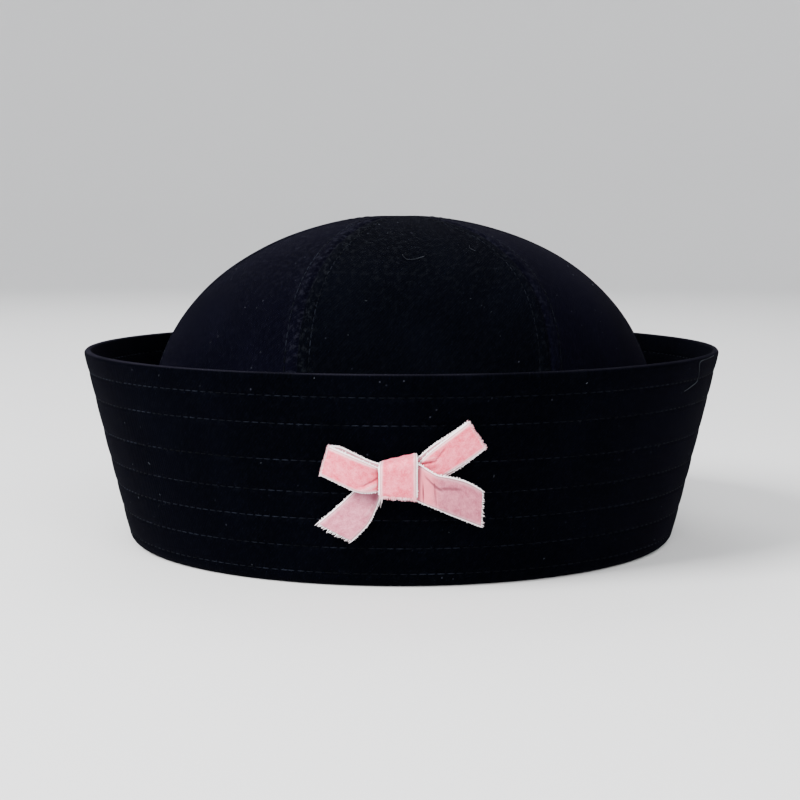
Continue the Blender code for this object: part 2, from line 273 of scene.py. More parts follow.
def sheet_faces(rows, columns, wrap, sides):
    """(corner numbers of a closed piece, count of one grid's faces). The inner grid's numbers follow the
    outer one's, and strips join them along the outer rows, and the outer columns if it has sides."""
    inner = rows * columns
    sheet, column, after = grid_faces(rows, columns, wrap)
    last = (rows - 1) * columns
    parts = [
        sheet,
        sheet[:, ::-1] + inner,
        stacked(after, column, column + inner, after + inner),
        stacked(column, after, after + inner, column + inner) + last,
    ]
    if sides:
        start = np.arange(rows - 1) * columns
        end = start + columns
        parts.append(stacked(start, end, end + inner, start + inner))
        parts.append(stacked(end, start, start + inner, end + inner) + columns - 1)
    return np.concatenate(parts), len(sheet)


def add_object(name, data):
    """An object of the scene that shows a mesh, a light or a camera."""
    made = bpy.data.objects.new(name, data)
    bpy.context.scene.collection.objects.link(made)
    return made


def add_mesh(name, points, faces, finishes):
    """A named piece of the cap that rides with it."""
    mesh = bpy.data.meshes.new(name)
    mesh.from_pydata(points.tolist(), [], faces)
    for finish in finishes:
        mesh.materials.append(finish)
    mesh.shade_smooth()
    piece = add_object(name, mesh)
    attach(piece, "root")
    return piece


def cloth_piece(name, outer, inner, cloth, mark, values, finishes, wrap=False):
    """A closed piece of cloth with an outer and an inner face.

    cloth is each grid point's place across and along the flat cloth, in metres, and becomes the UV map. A
    wrapped grid has one more column of it. The mark is a named value of each point: a twill's distance from
    the nearest seam, or a ribbon's fold. Faces that enclose a negative volume are turned round."""
    rows, columns = outer.shape[:2]
    cloth = stacked(*cloth)
    faces, count = sheet_faces(rows, columns, wrap, not wrap)
    corners, _ = sheet_faces(rows, cloth.shape[1], False, not wrap)
    points = np.concatenate([outer.reshape(-1, 3), inner.reshape(-1, 3)])
    a, b, c, d = (points[faces[:, i]] for i in range(4))
    if (np.cross(b - a, c - a) * a).sum() + (np.cross(c - a, d - a) * a).sum() < 0:
        faces, corners = faces[:, ::-1], corners[:, ::-1]
    piece = add_mesh(name, points, faces.tolist(), finishes)
    spots = np.concatenate([cloth.reshape(-1, 2)] * 2)
    piece.data.uv_layers.new(name="cloth").uv.foreach_set("vector", spots[corners].ravel())
    values = np.concatenate([np.broadcast_to(values, (rows, columns)).ravel()] * 2)
    piece.data.attributes.new(mark, "FLOAT", "POINT").data.foreach_set("value", values)
    if len(finishes) > 1:
        side = np.zeros(len(faces), np.int32)
        side[count : 2 * count] = 1
        piece.data.polygons.foreach_set("material_index", side)
    return piece


def bar(stations, radii, sides):
    """(points, side faces, end faces) of a short round bar along X, with a ring at each station."""
    around = np.arange(sides) * math.tau / sides
    rings = stacked(stations[:, None], radii[:, None] * np.cos(around), radii[:, None] * np.sin(around))
    row = np.arange(len(stations) - 1)[:, None] * sides
    place = np.arange(sides)
    after = (place + 1) % sides
    quads = stacked(row + place, row + sides + place, row + sides + after, row + after)
    ends = np.stack([place, place[::-1] + (len(stations) - 1) * sides])
    return rings.reshape(-1, 3), quads.reshape(-1, 4), ends


def repeat(name, shape, places, ways, outs, finish, lengths=1.0, bends=0.0):
    """Copies of a small bar, each along its way with its top to its out direction. A length stretches it
    along its way, and a bend curves it sideways with the square of the length."""
    points, quads, ends = shape
    x, y, z = (points[None, :, i, None] for i in range(3))
    x = x * np.reshape(lengths, (-1, 1, 1))
    y = y + np.reshape(bends, (-1, 1, 1)) * x * x
    sides = np.cross(outs, ways)
    spread = places[:, None] + x * ways[:, None] + y * sides[:, None] + z * outs[:, None]
    first = (np.arange(len(places)) * len(points))[:, None, None]
    faces = (quads + first).reshape(-1, 4).tolist() + (ends + first).reshape(-1, ends.shape[1]).tolist()
    return add_mesh(name, spread.reshape(-1, 3), faces, [finish])


# Finishes

EDGE_AND_HIGHLIGHT_WHITE = (0.95, 0.90, 0.91)
EDGE_PINK = (0.84, 0.68, 0.72)
SPECK_GREY = (0.035, 0.037, 0.05)
# Colour of a painted highlight along the brim's rim
RIM_HIGHLIGHT = (0.0085, 0.0080, 0.0125)
TWILL_PITCH = 1.15 * MM
RIB_PITCH = 0.6 * MM


class Wire:
    """One socket of a finish. Arithmetic on wires and numbers adds the Math nodes that work it out."""

    def __init__(self, tree, socket=None):
        self.tree = tree
        self.socket = socket

    def node(self, kind, sockets, output=0, **settings):
        """Adds a node, its sockets filled with values or wires, and gives one of its outputs."""
        made = self.tree.nodes.new("ShaderNode" + kind)
        for name, value in settings.items():
            setattr(made, name, value)
        for name, value in sockets.items():
            if isinstance(value, Wire):
                self.tree.links.new(value.socket, made.inputs[name])
            else:
                made.inputs[name].default_value = value
        return Wire(self.tree, made.outputs[output])

    def math(self, operation, first, second=0.0):
        return self.node("Math", {0: first, 1: second}, operation=operation)

    def __add__(self, other):
        return self.math("ADD", self, other)

    def __sub__(self, other):
        return self.math("SUBTRACT", self, other)

    def __rsub__(self, other):
        return self.math("SUBTRACT", other, self)

    def __mul__(self, other):
        return self.math("MULTIPLY", self, other)

    __radd__ = __add__

    def sine(self):
        return self.math("SINE", self)

    def least(self, other):
        return self.math("MINIMUM", self, other)

    def between(self, low, high):
        """0 up to low, 1 from high on, and a soft S between them."""
        sockets = {"Value": self, "From Min": low, "From Max": high}
        return self.node("MapRange", sockets, interpolation_type="SMOOTHSTEP")

    def noise(self, scale, detail=2.0, roughness=0.5):
        """Cloudy noise at this vector times scale, about 0.5 on average."""
        spot = self.node("Mapping", {"Vector": self, "Scale": scale})
        sockets = {"Vector": spot, "Scale": 1.0, "Detail": detail, "Roughness": roughness}
        return self.node("TexNoise", sockets)

    def specks(self, scale):
        """Distance to the nearest of scattered spots, in cells, read at this vector."""
        spot = self.node("Mapping", {"Vector": self, "Scale": scale})
        return self.node("TexVoronoi", {"Vector": spot, "Scale": 1.0})

    def blend(self, first, second):
        """The first colour where this is 0 and the second where it is 1."""
        first, second = (side if isinstance(side, Wire) else (*side, 1.0) for side in (first, second))
        return self.node("Mix", {0: self, 6: first, 7: second}, 2, data_type="RGBA", clamp_factor=True)

    def part(self, axis):
        """One number of this vector."""
        return self.node("SeparateXYZ", {0: self}, axis)


def new_finish(name, sheen, sheen_roughness, sheen_tint, gloss=0.25):
    """(finish, its shader node, a wire to start from), with the cloth's sheen and gloss as constants."""
    finish = bpy.data.materials.new(name)
    finish.use_nodes = True
    shader = finish.node_tree.nodes["Principled BSDF"]
    shader.inputs["Sheen Weight"].default_value = sheen
    shader.inputs["Sheen Roughness"].default_value = sheen_roughness
    shader.inputs["Sheen Tint"].default_value = (*sheen_tint, 1.0)
    shader.inputs["Specular IOR Level"].default_value = gloss
    return finish, shader, Wire(finish.node_tree)


def connect(finish, shader, colour, roughness, height, depth):
    """The finish, its shader fed. height is a relief from 0 to 1, and depth is what 1 means in metres."""
    start = Wire(finish.node_tree)
    normal = start.node("Bump", {"Strength": 1.0, "Distance": depth, "Height": height})
    for name, wire in (("Base Color", colour), ("Roughness", roughness), ("Normal", normal)):
        finish.node_tree.links.new(wire.socket, shader.inputs[name])
    return finish


def twill_finish(name, dark, light, lint_and_highlight_colour, streak_scale, rim=0.0):
    """Dusty near-black twill, its colours in thousandths. Its lines rise to the right, fine streaks follow
    the warp, and mottled lint lies on it, most of all beside the seams, with less of it towards +X as painted
    shade. The same pale mottle is heavier on the crown's top, where it is also a painted highlight. rim is
    how much of a painted highlight runs as a paler line along the brim's free edge, weaker towards +X."""
    dark, light, lint_and_highlight_colour = ([part / 1000 for part in colour] for colour in (dark, light, lint_and_highlight_colour))
    finish, shader, start = new_finish(name, 0.004, 0.5, (0.55, 0.50, 1.0), 0.005)
    cloth = start.node("UVMap", {}, uv_map="cloth")
    spot = start.node("TexCoord", {}, 3)
    seam = start.node("Attribute", {}, 2, attribute_name="seam")
    wander = cloth.noise((90, 90, 1)) * 2.5
    slant = cloth.part(0) - cloth.part(1) * 0.8
    line = (slant * (math.tau / TWILL_PITCH) + wander).sine() * 0.5 + 0.5
    streaks = cloth.noise((*streak_scale, 1), 3.0, 0.6)
    clouds = cloth.noise((38, 26, 1), 2.0, 0.5)
    grains = cloth.noise((2600, 2600, 1), 1.0, 0.5)
    mottle = cloth.noise((520, 430, 1), 3.0, 0.75).between(0.49, 0.64)
    # Lint beside the seams, with less of it towards +X: painted shade on the right.
    seam_lint_shaded_right = (1 - seam.between(0.4 * MM, 7.5 * MM)) * (1 - spot.part(0).between(0.0, 0.05) * 0.6)
    # Painted highlight: the crown's top gets more of the pale lint mottle, as if lit from above.
    top = spot.part(2).between(0.080, 0.112)
    lint_and_top_highlight = mottle * (seam_lint_shaded_right * 0.45 + top * 0.35 + 0.08)
    specks = 1 - cloth.specks((330, 300, 1)).between(0.05, 0.12)
    specks = specks * cloth.noise((120, 120, 1), 1.0).between(0.57, 0.66)
    tone = streaks.between(0.36, 0.70) * 0.20 + clouds.between(0.38, 0.66) * 0.16 + line * 0.14
    tone = tone + grains.between(0.45, 0.75) * 0.26
    colour = (specks * 0.5).blend(lint_and_top_highlight.blend(tone.blend(dark, light), lint_and_highlight_colour), SPECK_GREY)
    # Painted highlight: a paler line along the brim's free edge, weaker towards +X.
    edge = spot.part(2).between(BRIM_HEIGHT - 0.55 * MM, BRIM_HEIGHT - 0.1 * MM)
    edge = edge * (1 - spot.part(0).between(-0.03, 0.05) * 0.65)
    colour = (edge * (clouds.between(0.3, 0.6) * 0.6 + 0.4) * rim).blend(colour, RIM_HIGHLIGHT)
    relief = line * 0.6 + grains * 0.25 + streaks * 0.3
    return connect(finish, shader, colour, 0.78 + streaks * 0.2, relief, 0.09 * MM)


def thread_finish(name, dark, light, patch, right_shade=0.0):
    """Thread, light in some places and nearly as dark as the cloth in others. patch is the noise's scale of
    those places, and the last argument is how much of its light colour it loses towards +X: painted shade on
    the right."""
    finish, shader, start = new_finish(name, 0.01, 0.4, (0.7, 0.75, 1.0), 0.02)
    spot = start.node("TexCoord", {}, 3)
    clouds = spot.noise((patch, patch, patch), 3.0, 0.6)
    twist = spot.noise((5200, 5200, 5200), 1.0)
    # Painted shade: the thread loses its light colour towards +X.
    shaded_right = spot.part(0).between(-0.02, 0.05) * right_shade
    colour = (clouds.between(0.38, 0.68) * (1 - shaded_right)).blend(dark, light)
    return connect(finish, shader, colour, 0.55 + twist * 0.3, twist, 0.05 * MM)


def ribbon_finish(name, deep, pale, root, reach, halo):
    """Ribbon with thin white woven edges, a fine groove beside each of them, and a paler band inside that.

    Between them it is mottled in soft patches and fine grain and has its root colour up to reach from its
    start in the knot. Painted shade darkens its creases, the grooves and a narrow band just past the knot,
    and a painted highlight pales its raised folds."""
    finish, shader, start = new_finish(name, 0.22, 0.35, (1.0, 0.55, 0.65))
    cloth = start.node("UVMap", {}, uv_map="cloth")
    fold = start.node("Attribute", {}, 2, attribute_name="fold")
    fine = cloth.noise((2300, 2300, 1), 2.0, 0.7)
    patches = cloth.noise((230, 190, 1), 3.0, 0.6)
    blots = cloth.noise((720, 620, 1), 2.0, 0.6)
    inset = cloth.part(0).least(RIBBON_WIDTH - cloth.part(0)) + (fine - 0.5) * (0.3 * MM)
    past = inset - SELVEDGE
    border = 1 - past.between(-0.1 * MM, 0.08 * MM)
    groove = past.between(0, 0.1 * MM) * (1 - past.between(0.15 * MM, 0.4 * MM))
    band = 1 - past.between(0.2 * MM, 1.2 * MM)
    ribs = (cloth.part(1) * (math.tau / RIB_PITCH)).sine() * 0.5 + 0.5
    tone = patches.between(0.38, 0.62) * 0.30 + blots.between(0.38, 0.63) * 0.32
    tone = tone + fine.between(0.36, 0.66) * 0.38
    # Root colour near the knot: painted shade on the velvet, a painted shadow of the loop on the left tail.
    near = 1 - cloth.part(1).between(reach * 0.55, reach)
    # Painted shadow just past where the ribbon comes out of the knot.
    knot_shadow = 1 - cloth.part(1).between(HIDDEN_END - 0.3 * MM, HIDDEN_END + 0.8 * MM)
    shade_colour = [channel * 0.4 for channel in deep]
    body = (near * 0.75).blend(tone.blend(deep, pale), root)
    body = (band * halo).blend(body, EDGE_AND_HIGHLIGHT_WHITE)
    # Painted shade in creases, and a painted highlight on raised folds.
    body = ((fold * -1).between(0.05 * MM, 0.40 * MM) * 0.85).blend(body, shade_colour)
    body = (fold.between(0.04 * MM, 0.40 * MM) * 0.3).blend(body, EDGE_AND_HIGHLIGHT_WHITE)
    # Painted shade in the grooves beside the woven edges and in the knot's shadow.
    body = (groove * 0.5 + knot_shadow * 0.75).blend(body, shade_colour)
    hem = (ribs * 0.35 + fine * 0.25).blend(EDGE_AND_HIGHLIGHT_WHITE, EDGE_PINK)
    roughness = border * -0.25 + fine * 0.15 + 0.82
    height = border * ribs * 0.5 + (1 - border) * (fine * 0.7 + blots * 0.5) - groove * 0.5
    return connect(finish, shader, border.blend(body, hem), roughness, height, 0.16 * MM)


def plain_finish(name, colour, roughness):
    """A flat pale finish for the floor, with a trace of unevenness."""
    finish, shader, start = new_finish(name, 0.0, 0.5, (1.0, 1.0, 1.0))
    spot = start.node("TexCoord", {}, 3)
    tone = spot.noise((3, 3, 3), 2.0) * 0.04
    shade = tone.blend(colour, (0.5, 0.5, 0.5))
    return connect(finish, shader, shade, roughness + tone, tone, 0.0)


# Brim


def brim_line(along):
    """(radius, height, heading) at a length along the middle of the brim's wall, from the lip's top.

    The heading is straight down, turns evenly through the fold's two rounds with the flat between them, and
    then keeps the wall's slant. Radius and height are its cosine and sine summed up."""
    quarter = math.pi / 2
    pieces = [0, LIP_HEIGHT - FOLD_RADIUS, BEND * quarter, FOLD_FLAT, BEND * (quarter - SLANT), WALL_LENGTH]
    fine = np.linspace(0, sum(pieces), 4001)
    heading = np.interp(fine, np.cumsum(pieces), [-quarter, -quarter, 0, 0, quarter - SLANT, quarter - SLANT])
    halfway = (heading[1:] + heading[:-1]) / 2
    radius = FOLD_INNER - BEND + summed(np.cos(halfway)) * fine[1]
    height = LIP_HEIGHT + summed(np.sin(halfway)) * fine[1]
    return (np.interp(along, fine, values) for values in (radius, height, heading))


BRIM_LENGTH = LIP_HEIGHT - FOLD_RADIUS + BEND * (math.pi - SLANT) + FOLD_FLAT + WALL_LENGTH
BRIM_TOP = BRIM_LENGTH - BRIM_WALL / 2


def brim_relief(along, turn):
    """How far the quilted brim stands out from its plain wall.

    Each band between two rows of stitching is a low arch, a row is a narrow groove, the seam at the back is
    a narrow valley, and the whole wall waves a little."""
    depth = BRIM_LENGTH - along
    rows = np.concatenate([[0], BRIM_ROWS, [BRIM_ROWS[-1] + 9 * MM]])
    band = np.interp(depth, rows, np.arange(len(rows)))
    arch = 0.16 * MM * np.abs(np.sin(math.pi * band)) ** 0.7
    groove = sum(bell(depth - row, 0.55 * MM) for row in BRIM_ROWS) * 0.24 * MM
    valley = bell((turn - math.pi / 2) * RIM_HALF_WIDTH, 0.75 * MM) * 0.4 * MM
    wave = np.sin(3 * turn + 45 * along + 0.8) + np.sin(7 * turn - 70 * along) * 0.6
    tremble = np.sin(31 * turn + 260 * along) * np.sin(190 * along + 5 * turn)
    standing = smooth(along, BRIM_LENGTH - WALL_LENGTH - 1 * MM, BRIM_LENGTH - WALL_LENGTH + 3 * MM)
    return (arch - groove + (0.10 * wave + 0.05 * tremble) * MM) * standing - valley


def brim_point(along, turn, side, proud=0.0):
    """A point of the brim's cloth. side is the angle, round the wall's middle, from its outward normal."""
    radius, height, heading = brim_line(along)
    thick = BRIM_WALL / 2 + proud + brim_relief(along, turn) * np.abs(np.cos(side))
    facing = heading - math.pi / 2 + side
    ripple = 0.25 * MM * smooth(along, 0.02, BRIM_LENGTH) * np.sin(5 * turn + 1.3)
    return oval(radius + ripple + thick * np.cos(facing), turn, height + thick * np.sin(facing))


def brim_frames(depth, turn, side=0.0, proud=0.0):
    """(points, ways, outs) of the brim's cloth at a depth below its rim. On its outside, outs point in."""
    return frames(lambda a, t: brim_point(a, t, side, proud), BRIM_LENGTH - depth, turn)


def make_brim(finish):
    """The brim's cloth: rows of points from the lip under the fold to the rim, round both edges."""
    fold_end = BRIM_LENGTH - WALL_LENGTH
    near_rows = BRIM_LENGTH - BRIM_ROWS[:, None] + np.array([-1.1, -0.55, -0.25, 0, 0.25, 0.55, 1.1]) * MM
    wall = np.concatenate([np.linspace(fold_end, BRIM_TOP, 42)[1:-1], near_rows.ravel()])
    fold = np.linspace(BRIM_WALL / 2, fold_end, 18)
    straight = np.sort(np.concatenate([fold, wall, [BRIM_TOP]]))
    rounding = np.radians([85, 62, 40, 20])
    along = np.concatenate([np.full(4, BRIM_WALL / 2), straight, np.full(4, BRIM_TOP)])[:, None]
    side = np.concatenate([-rounding, np.zeros(len(straight)), rounding[::-1]])[:, None]
    width = 2.6 * MM / RIM_HALF_WIDTH
    turns = [np.linspace(0, width, 9)[:-1], np.linspace(width, math.tau - width, 337)[:-1]]
    turns = np.concatenate([*turns, np.linspace(math.tau - width, math.tau, 9)[:-1]]) + math.pi / 2
    outer = brim_point(along, seam_angle(turns), side)
    inner = brim_point(along, seam_angle(turns), math.pi - side)
    full = np.append(turns, turns[0] + math.tau)
    cloth = full * RIM_HALF_WIDTH, along
    seam = np.abs(BRIM_LENGTH - along - BRIM_ROWS).min(axis=1, keepdims=True) + 5.2 * MM
    piece = cloth_piece("brim_cloth", outer, inner, cloth, "seam", seam, [finish], wrap=True)
    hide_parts("brim")


def seam_angle(turns):
    """Turns within half a turn of the back seam, so that its valley is met from both sides."""
    return (turns + math.pi / 2) % math.tau - math.pi / 2


def make_brim_stitches(finish, shape):
    """Rows of stitches round the brim, on its outside and its inside."""
    for name, side in (("brim_stitches_outside", 0.0), ("brim_stitches_inside", math.pi)):
        parts = []
        for row, depth in enumerate(BRIM_ROWS):
            radius = next(brim_line(BRIM_LENGTH - depth))
            count = round(math.tau * radius * (1 + LENGTH_RATIO) / 2 / STITCH_PITCH)
            turns = np.sort((np.arange(count) + 0.37 * row) * math.tau / count % math.tau) - math.pi / 2
            turns = turns + rng.normal(0, 0.05, count) * math.tau / count
            here, way, out = brim_frames(np.full(count, depth), turns, side, STITCH_PROUD)
            parts.append((here, way, out if side else -out))
        repeat(name, shape, *joined(parts), finish)


# Crown


def meridian(up):
    """(radius, height) of the crown's outer line at a share of its rows.

    Over the first TUCK_ROWS the radius grows as a parabola to the widest ring. Above that it is the widest
    one times the square root of 1 - u ** DOME_POWER, where u is the share of the height climbed."""
    row = up * (TUCK_ROWS + DOME_ROWS)
    tuck = np.clip(row / TUCK_ROWS, -0.1, 1)
    top = (1 - (APEX_RADIUS / BULGE_HALF_WIDTH) ** 2) ** (1 / DOME_POWER)
    dome = np.sin(math.asin(top) * np.clip((row - TUCK_ROWS) / DOME_ROWS, 0, 1.001))
    low_radius = BULGE_HALF_WIDTH - (BULGE_HALF_WIDTH - BASE_RADIUS) * (1 - tuck) ** 2
    high_radius = BULGE_HALF_WIDTH * np.sqrt(np.clip(1 - dome**DOME_POWER, 1e-7, 1))
    low_height = BASE_HEIGHT + (BULGE_HEIGHT - BASE_HEIGHT) * tuck
    high_height = BULGE_HEIGHT + (CROWN_HEIGHT - BULGE_HEIGHT) * dome
    low = row < TUCK_ROWS
    return np.where(low, low_radius, high_radius), np.where(low, low_height, high_height)


def seam_turn(seam, height):
    """A seam's turn at a height: it swings from low to high with the square of the height."""
    share = (height - BASE_HEIGHT) / (CROWN_HEIGHT - BASE_HEIGHT)
    return np.radians(seam.low + (seam.high - seam.low) * share**2 - 90)


def panel_span(seams, up):
    """(first turn, angle to the next seam, width in metres) of a panel at a share of its rows."""
    radius, height = meridian(up)
    start = seam_turn(seams[0], height)
    angle = (seam_turn(seams[1], height) - start) % math.tau
    return start, angle, angle * radius * (1 + LENGTH_RATIO) / 2


def panel_fit(width):
    """The scale of the bands beside a panel's seams: 1, or less where the panel is narrow."""
    return np.minimum(1, width / NARROW_PANEL)


def panel_point(seams, across, up):
    """A point of a panel's smooth outside, which lies a little flatter than the dome between its seams."""
    radius, height = meridian(up)
    start, angle, _ = panel_span(seams, up)
    flat = PANEL_FLATTENING * 4 * across * (1 - across) * np.sin(math.pi * np.clip(up, 0, 1))
    sway = CROWN_SWAY * np.sin(math.pi * np.clip(up, 0, 1))
    points = oval(radius - flat, start + angle * across, height)
    points[..., 0] += sway
    return points


def seam_relief(distance):
    """The cloth's rise beside a seam: it rolls into the seam, stands up over the turned-in edge below, and
    has a groove at the row of stitches."""
    rolled = -0.75 * MM * bell(distance, 0.75 * MM)
    doubled = 0.34 * MM * (1 - smooth(distance, 4.5 * MM, 5.6 * MM))
    groove = -0.26 * MM * bell(distance - SEAM_STITCH, 0.5 * MM)
    return rolled + doubled + groove


def crown_folds(points):
    """Slow, shallow waves in the cloth of the crown, alike for all its panels."""
    x, y, z = (points[..., i] for i in range(3))
    slow = np.sin(62 * x + 41 * z + 0.6) * np.sin(55 * y - 30 * z + 1.9)
    quick = np.sin(150 * x - 90 * y) * np.sin(170 * z + 60 * x + 0.4)
    return (0.34 * slow + 0.10 * quick) * MM * smooth(z, BASE_HEIGHT, 0.03)


def panel_cloth(seams, across, up):
    """(outer points, inner points, distance from the nearer seam) of a panel: the smooth panel moved along
    its normals by its relief. Inside, the turned-in edges stand up in a band along each seam."""
    points, _, outs = frames(lambda a, t: panel_point(seams, a, t), across, up)
    width = panel_span(seams, up)[2]
    fit = panel_fit(width)
    distance = np.minimum(across, 1 - across) * width / fit
    waves = crown_folds(points) * np.minimum(1, distance / (6 * MM) + 0.25)
    rise = seam_relief(distance) * fit + waves
    top = -0.5 * MM * bell(np.hypot(points[..., 0], points[..., 1]), 3.2 * MM)
    turned_in = 0.45 * MM * (1 - smooth(distance, 6.6 * MM, 7.4 * MM)) * smooth(distance, 0, 0.5 * MM) * fit
    outer = points + outs * (rise + top)[..., None]
    inner = points + outs * (waves + top - CROWN_WALL + 0.1 * MM - turned_in)[..., None]
    return outer, inner, distance


def panel_frames(seams, across, up):
    """(points, ways, outs) of a panel's outside."""
    return frames(lambda a, t: panel_cloth(seams, a, t)[0], across, up)


def make_crown(finish, painted_shade_finish):
    """The six panels, each on a grid that is fine beside its seams. The front and the back one take a darker
    copy of the twill: painted shade that keeps the front panel darker than the side panels."""
    up = np.linspace(0, 1, PANEL_ROWS)[:, None]
    for index, seams in enumerate(PANELS):
        panel = seams[0].panel
        width = panel_span(seams, up)[2]
        edge = SEAM_COLUMNS * MM * panel_fit(width) / width
        middle = np.linspace(0, 1, 28)[1:-1]
        last = edge[:, -1:]
        across = np.concatenate([edge, last + (1 - 2 * last) * middle, 1 - edge[:, ::-1]], axis=1)
        outer, inner, distance = panel_cloth(seams, across, up)
        climb = lengths_along(outer[:, outer.shape[1] // 2])[:, None]
        own_part = index * CLOTH_SHIFT
        cloth = (across - 0.5) * width + own_part, climb + own_part
        # The darker twill on the front and back panels is painted shade.
        shade = painted_shade_finish if panel in ("front", "back") else finish
        piece = cloth_piece("crown_cloth_" + panel, outer, inner, cloth, "seam", distance, [shade])
        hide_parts("crown_panel_" + panel)


def make_crown_stitches(finish, shape):
    """A row of stitches on each side of every seam, up to where the rows would meet."""
    parts = []
    fine = np.linspace(0.01, 1, 1200)
    for seams in PANELS:
        width = panel_span(seams, fine)[2]
        share = SEAM_STITCH * panel_fit(width) / width
        for mirrored in (False, True):
            line = panel_point(seams, 1 - share if mirrored else share, fine)
            length = lengths_along(line)
            end = np.interp(-LAST_STITCH_WIDTH, -width, length)
            count = int(end / STITCH_PITCH)
            up = np.interp((np.arange(count) + 0.5) * STITCH_PITCH, length, fine)
            at = np.interp(up, fine, share)
            at = 1 - at if mirrored else at
            here, way, _ = panel_frames(seams, at, up)
            bare = frames(lambda a, t: panel_point(seams, a, t), at, up)[2]
            parts.append((here + bare * STITCH_PROUD, way, upright(bare, way)))
    repeat("crown_stitches", shape, *joined(parts), finish)


# Bow


def on_brim(across, up, lift):
    """A point over the brim's front: across and up the wall from the bow's middle, and lift out from it."""
    foot_radius = FOLD_OUTER + FOLD_RADIUS * math.cos(SLANT)
    foot_height = FOLD_RADIUS - FOLD_RADIUS * math.sin(SLANT)
    height = BOW_HEIGHT + up * math.cos(SLANT)
    radius = foot_radius + (height - foot_height) * math.tan(SLANT)
    turn = np.arcsin((across + BOW_OFFSET) / radius)
    out = stacked(np.sin(turn), -np.cos(turn) / LENGTH_RATIO, -math.tan(SLANT))
    return oval(radius, turn - math.pi / 2, height) + unit(out) * np.asarray(lift)[..., None]


def between(table, share):
    """A table's values at shares of the way through it, on smooth cubics through all its rows."""
    place = np.clip(share, 0, 1) * (len(table) - 1)
    first = np.minimum(place.astype(int), len(table) - 2)
    t = (place - first)[..., None]
    a, b = table[np.maximum(first - 1, 0)], table[first]
    c, d = table[first + 1], table[np.minimum(first + 2, len(table) - 1)]
    values = (2 * t**3 - 3 * t**2 + 1) * b + (t**3 - 2 * t**2 + t) * (c - a) / 2
    return values + (3 * t**2 - 2 * t**3) * c + (t**3 - t**2) * (d - b) / 2


def ribbon_point(table, across, share):
    """The middle of a ribbon's wall: a straight line between its two edges with a slight swell. across is a
    share of that line from its middle, and share is of the ribbon's length."""
    across, share = np.broadcast_arrays(across, share)
    edges = between(table, share)
    x, up, layer = (edges[..., i] + (edges[..., j] - edges[..., i]) * (across + 0.5) for i, j in EDGE_PAIRS)
    swell = 0.22 * MM * (1 - (2 * across) ** 2)
    return on_brim(x * RIBBON_WIDTH, up * RIBBON_WIDTH, FIRST_LAYER + layer * LAYER_PITCH + swell)


def half_wall(inset):
    """Half of the ribbon's thickness at a distance from its edge: a thin woven edge, then the pile."""
    edge = 0.12 + 0.14 * smooth(inset, 0, 0.2 * MM)
    return (edge + 0.22 * smooth(inset, SELVEDGE, SELVEDGE + 0.6 * MM)) * MM


def make_ribbon(name, node, table, creases, finishes, ragged):
    """One loop or tail: a strip through its table's edges. Gives its middle surface, ways and normals.

    Creases are dips in it, each a bell curve across. A tail's ragged end is moved in and out at random, and
    the edges have small teeth."""
    border = np.array([0, 0.008, 0.02, 0.035, 0.055, 0.08, 0.11]) - 0.5
    across = np.concatenate([border, np.linspace(-0.36, 0.36, 19), -border[::-1]])[None, :]
    share = np.linspace(0, 1, RIBBON_ROWS)[:, None]
    middle, way, outs = frames(lambda a, s: ribbon_point(table, a, s), across, share)
    length = lengths_along(middle[:, across.shape[1] // 2])[:, None]
    dips = np.zeros(middle.shape[:2])
    for place, drift, width, depth, start, end in creases:
        line = place + drift * (share - start) / (end - start)
        ramp = 0.3 * (end - start)
        window = smooth(share, start, start + ramp) * (1 - smooth(share, end - ramp, end))
        dips -= bell(across - line, width) * depth * MM * window
    inset = (0.5 - np.abs(across)) * RIBBON_WIDTH
    jag = rng.normal(0, 0.07 * MM, across.shape) * smooth(share, 0.97, 1.0) * ragged
    teeth = np.sin(length * math.tau / (1.05 * MM)) * (0.7 + 0.6 * np.sin(length * 2100)) * np.sign(across)
    teeth = teeth * 0.10 * MM * smooth(-inset, -0.2 * MM, 0)
    side = np.cross(outs, way)
    sign = 1.0 if outs[0, :, 1].mean() < 0 else -1.0
    middle = middle + way * jag[..., None] + side * teeth[..., None] + sign * outs * dips[..., None]
    wall = sign * half_wall(inset)[..., None]
    cloth = (across + 0.5) * RIBBON_WIDTH, length
    piece = cloth_piece(name, middle + outs * wall, middle - outs * wall, cloth, "fold", dips, finishes)
    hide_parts(node)
    return middle, way, outs * sign


def squarish(value):
    """A cosine or sine bent outwards, so that the two go round an oval near a rectangle."""
    return np.sign(value) * np.abs(value) ** (2 / KNOT_SQUARENESS)


def knot_point(around, along, inset):
    """A point of the knot's band: a squarish oval, taller at the right than at the left, with a slight swell
    between its edges and shallow pleats where it turns round behind."""
    low = KNOT_LOW[0] + (KNOT_LOW[1] - KNOT_LOW[0]) * along
    top = KNOT_TOP[0] + (KNOT_TOP[1] - KNOT_TOP[0]) * along
    cosine, sine = np.cos(around), np.sin(around)
    swell = 0.22 * MM * (1 - (2 * along - 1) ** 4) * smooth(sine, 0.2, 0.9)
    pleats = 0.12 * MM * np.sin(along * 19 + 2.0 * np.abs(cosine)) * smooth(np.abs(cosine), 0.75, 1.0)
    up = (low + top) / 2 + squarish(cosine) * ((top - low) / 2 - inset + pleats)
    lift = squarish(sine) * (KNOT_DEPTH / 2 - inset) + swell
    return on_brim(KNOT_WIDTH * (along - 0.5), up, PIECE_GAP + KNOT_DEPTH / 2 + lift)


def even_turns(count):
    """(angles of points evenly along the knot's squarish oval, that oval's length)."""
    fine = np.linspace(0, math.tau, 4001)
    across = squarish(np.cos(fine)) * RIBBON_WIDTH / 2
    deep = squarish(np.sin(fine)) * KNOT_DEPTH / 2
    length = summed(np.hypot(np.diff(across), np.diff(deep)))
    return np.interp(np.arange(count) / count * length[-1], length, fine), length[-1]


